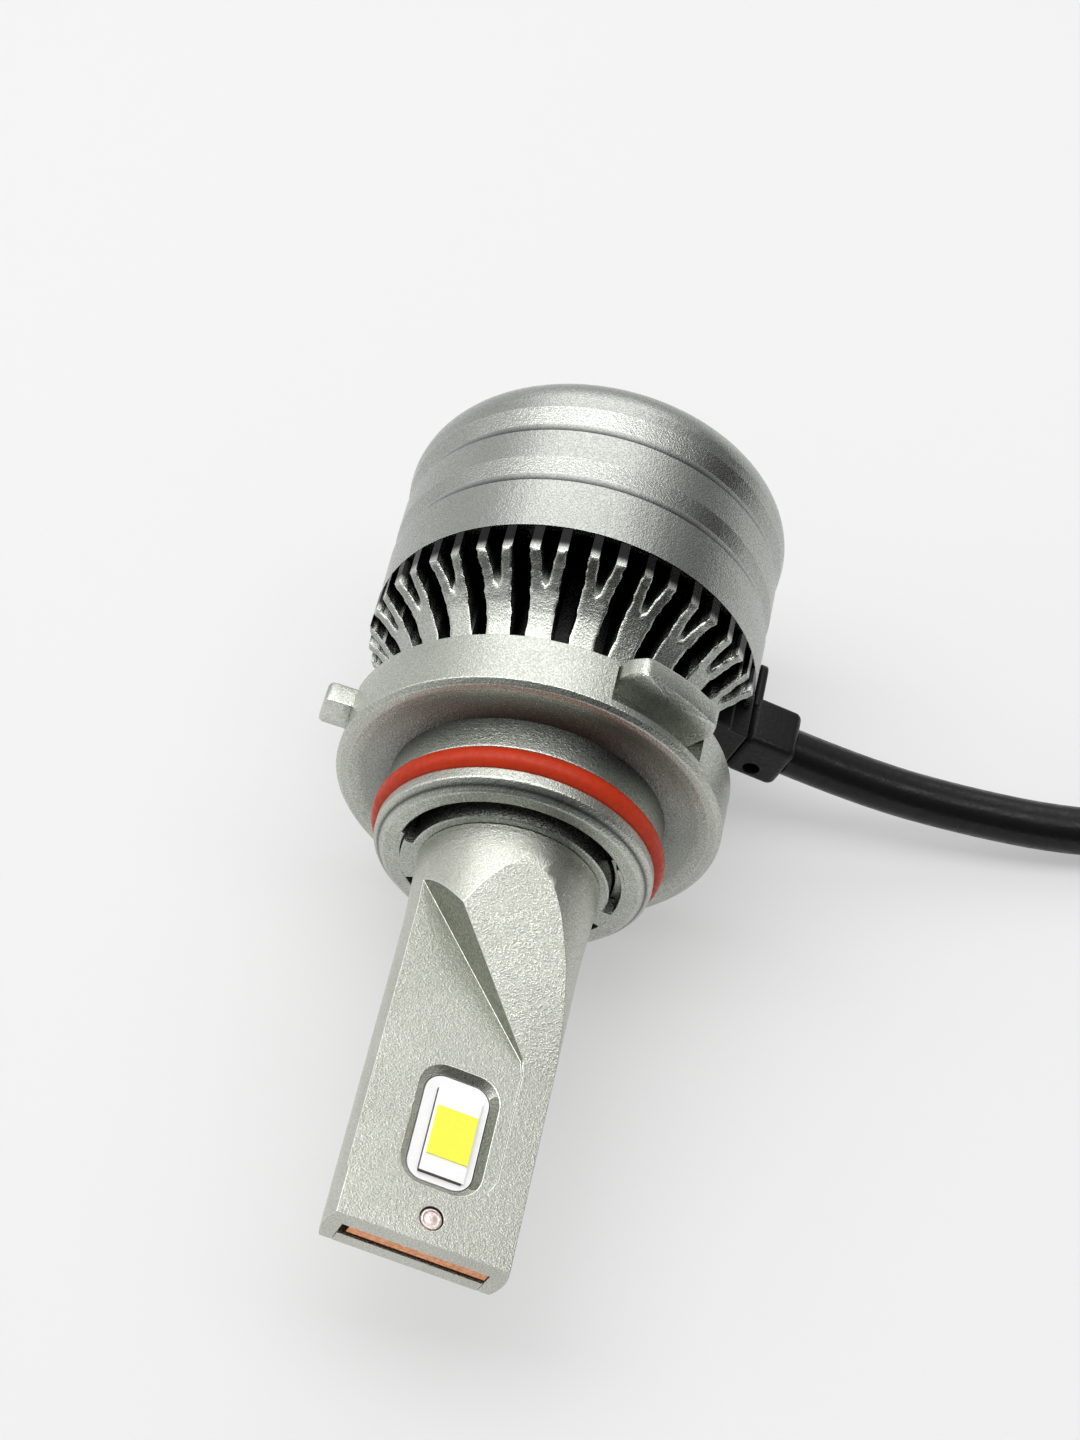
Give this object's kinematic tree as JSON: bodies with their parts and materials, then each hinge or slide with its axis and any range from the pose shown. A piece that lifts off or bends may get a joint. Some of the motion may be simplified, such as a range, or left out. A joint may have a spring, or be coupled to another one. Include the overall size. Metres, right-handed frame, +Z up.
{
  "type": "headlight bulb",
  "caption": "LED headlight bulb with a three-lug twist-lock base, red seal ring, flat lamp stem, forked cooling fins, fan-cooled head and a short cable with a two-pin plug",
  "frame": {"origin": "on the bulb's axis in the plane of the collar's front land, from which the lamp is located", "axes": "+Y from the base to the rear of the head along the bulb's axis (the tip points to -Y), +Z up, +X to the right seen from the tip side with Z up"},
  "size_m": [0.1462, 0.0803, 0.0344],
  "materials": {
    "cast_aluminium": "bead-blasted and anodised, silver grey, bright worn edges",
    "stem_aluminium": "coarse satin, sparkling",
    "copper": "rolled copper, satin",
    "silicone_red": "orange-red silicone, satin",
    "rubber_black": "black rubber, matte",
    "board_white": "white solder mask",
    "phosphor": "yellow phosphor under clear silicone",
    "plastic_black": "black moulded plastic, fine grain",
    "fan_black": "black moulded plastic, satin",
    "cable_black": "black PVC sheath, satin",
    "steel": "turned steel",
    "electrical_steel": "stamped steel sheet",
    "magnet": "bonded ferrite",
    "board_green": "green solder mask",
    "ferrite": "ferrite and wire",
    "can_aluminium": "drawn aluminium cans",
    "wire_red": "silicone insulation",
    "tin": "tinned",
    "screw_steel": "zinc-plated steel"
  },
  "bodies": {
    "bulb": {"heat_sink": "cast_aluminium", "neck_bush": "rubber_black", "stem_body": "stem_aluminium", "stem_back_plate": "stem_aluminium", "copper_core": "copper", "led_board_front": "board_white", "led_package_front": "board_white", "led_phosphor_front": "phosphor", "led_board_back": "board_white", "led_package_back": "board_white", "led_phosphor_back": "phosphor", "tip_rivet": "steel", "head_shell": "cast_aluminium", "fan_frame": "fan_black", "fan_bearing": "tin", "fan_stator": "electrical_steel", "fan_screws": "screw_steel", "driver_board": "board_green", "driver_inductor": "ferrite", "driver_capacitors": "can_aluminium", "driver_chips": "plastic_black", "led_wires": "wire_red", "cable_outlet": "plastic_black", "cable_clamp": "plastic_black", "power_cable": "cable_black", "plug_boot": "cable_black", "plug_body": "plastic_black", "plug_terminals": "tin"},
    "collar": {"base_collar": "cast_aluminium", "base_seal_ring": "silicone_red"},
    "fan_rotor": {"fan_impeller": "fan_black", "fan_shaft": "steel", "rotor_yoke": "electrical_steel", "rotor_magnet": "magnet"}
  },
  "joints": [
    {"name": "collar_twist", "type": "hinge", "parent": "bulb", "child": "collar", "pos_m": [0, 0, 0], "axis": [0, -1, 0], "range_deg": [0, 45]},
    {"name": "fan_spin", "type": "hinge", "parent": "bulb", "child": "fan_rotor", "pos_m": [0, 0.03, 0], "axis": [0, 1, 0], "continuous": true}
  ]
}
